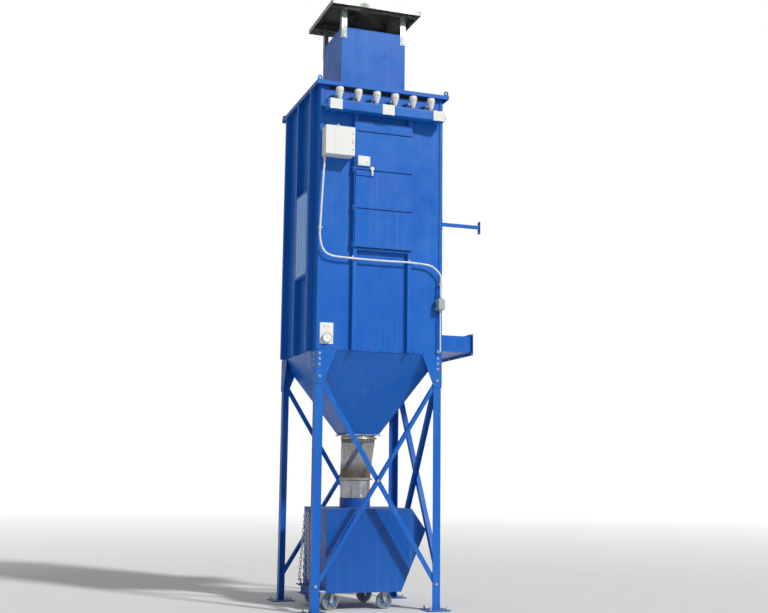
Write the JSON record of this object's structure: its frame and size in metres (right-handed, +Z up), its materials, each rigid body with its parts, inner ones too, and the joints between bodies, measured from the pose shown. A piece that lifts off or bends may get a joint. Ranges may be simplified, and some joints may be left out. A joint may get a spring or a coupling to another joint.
{
  "type": "pulse-jet baghouse dust collector",
  "caption": "Tall ribbed dust-collector housing on braced angle legs, with a pyramid hopper, clear sleeve and wheeled dust bin below and a capped exhaust stack above.",
  "frame": {"origin": "centre of the anchor-bolt pattern and of the frame's footprint, on the floor", "axes": "+X right along the front, +Y from the front to the back, +Z up"},
  "size_m": [2.276, 1.938, 7.8],
  "materials": {
    "blue_paint": "satin royal blue enamel, lightly scratched",
    "white_paint": "satin light grey-white enamel",
    "galvanised": "dull galvanised zinc",
    "vent_foil": "matt pale grey-blue",
    "clear_plastic": "clear plastic clouded with tan dust",
    "conduit_grey": "matt grey",
    "wheel_grey": "light grey wheel",
    "white_plate": "bare white plate"
  },
  "bodies": {
    "collector": {"front_panel": "blue_paint", "left_panel": "blue_paint", "right_panel": "blue_paint", "back_panel": "blue_paint", "roof_panel": "blue_paint", "lifting_lugs": "blue_paint", "exhaust_stack": "blue_paint", "cap_posts": "galvanised", "rain_cap": "galvanised", "hopper_end_plates": "blue_paint", "hopper_side_plates": "blue_paint", "outlet_collar": "galvanised", "clear_sleeve": "clear_plastic", "sleeve_clamps": "galvanised", "sleeve_band": "galvanised", "legs": "blue_paint", "base_plates": "blue_paint", "corner_gussets": "blue_paint", "outer_braces": "blue_paint", "inner_braces": "blue_paint", "door_bars": "blue_paint", "access_covers": "blue_paint", "door_hinge": "blue_paint", "door_latch": "white_paint", "vent_frame": "blue_paint", "vent_panel": "vent_foil", "air_manifold": "blue_paint", "manifold_clamps": "white_paint", "pulse_valves": "white_paint", "control_box": "white_paint", "control_box_door": "white_paint", "upper_conduit": "conduit_grey", "junction_box": "conduit_grey", "lower_conduit": "conduit_grey", "gauge_plate": "white_plate", "pressure_gauge": "conduit_grey", "inlet_duct": "blue_paint", "wall_tie": "blue_paint", "bin_sides": "blue_paint", "bin_shell": "blue_paint", "bin_lid": "blue_paint", "bin_deck": "blue_paint", "end_channel": "blue_paint", "chain_hooks": "blue_paint", "bin_chain": "galvanised", "caster_plates": "galvanised", "rigid_forks": "galvanised"},
    "front_swivel": {"front_swivel_fork": "galvanised"},
    "back_swivel": {"back_swivel_fork": "galvanised"},
    "front_swivel_wheel": {"front_swivel_wheel": "wheel_grey"},
    "back_swivel_wheel": {"back_swivel_wheel": "wheel_grey"},
    "front_rigid_wheel": {"front_rigid_wheel": "wheel_grey"},
    "back_rigid_wheel": {"back_rigid_wheel": "wheel_grey"}
  },
  "joints": [
    {"name": "front_swivel_turn", "type": "hinge", "parent": "collector", "child": "front_swivel", "pos_m": [-0.434, -0.445, 0.22], "axis": [0, 0, 1], "continuous": true},
    {"name": "back_swivel_turn", "type": "hinge", "parent": "collector", "child": "back_swivel", "pos_m": [-0.434, 0.325, 0.22], "axis": [0, 0, 1], "continuous": true},
    {"name": "front_swivel_wheel_spin", "type": "hinge", "parent": "front_swivel", "child": "front_swivel_wheel", "pos_m": [-0.472, -0.445, 0.1016], "axis": [0, 1, 0], "continuous": true},
    {"name": "back_swivel_wheel_spin", "type": "hinge", "parent": "back_swivel", "child": "back_swivel_wheel", "pos_m": [-0.472, 0.325, 0.1016], "axis": [0, 1, 0], "continuous": true},
    {"name": "front_rigid_wheel_spin", "type": "hinge", "parent": "collector", "child": "front_rigid_wheel", "pos_m": [0.22, -0.445, 0.1016], "axis": [0, 1, 0], "continuous": true},
    {"name": "back_rigid_wheel_spin", "type": "hinge", "parent": "collector", "child": "back_rigid_wheel", "pos_m": [0.22, 0.325, 0.1016], "axis": [0, 1, 0], "continuous": true}
  ]
}
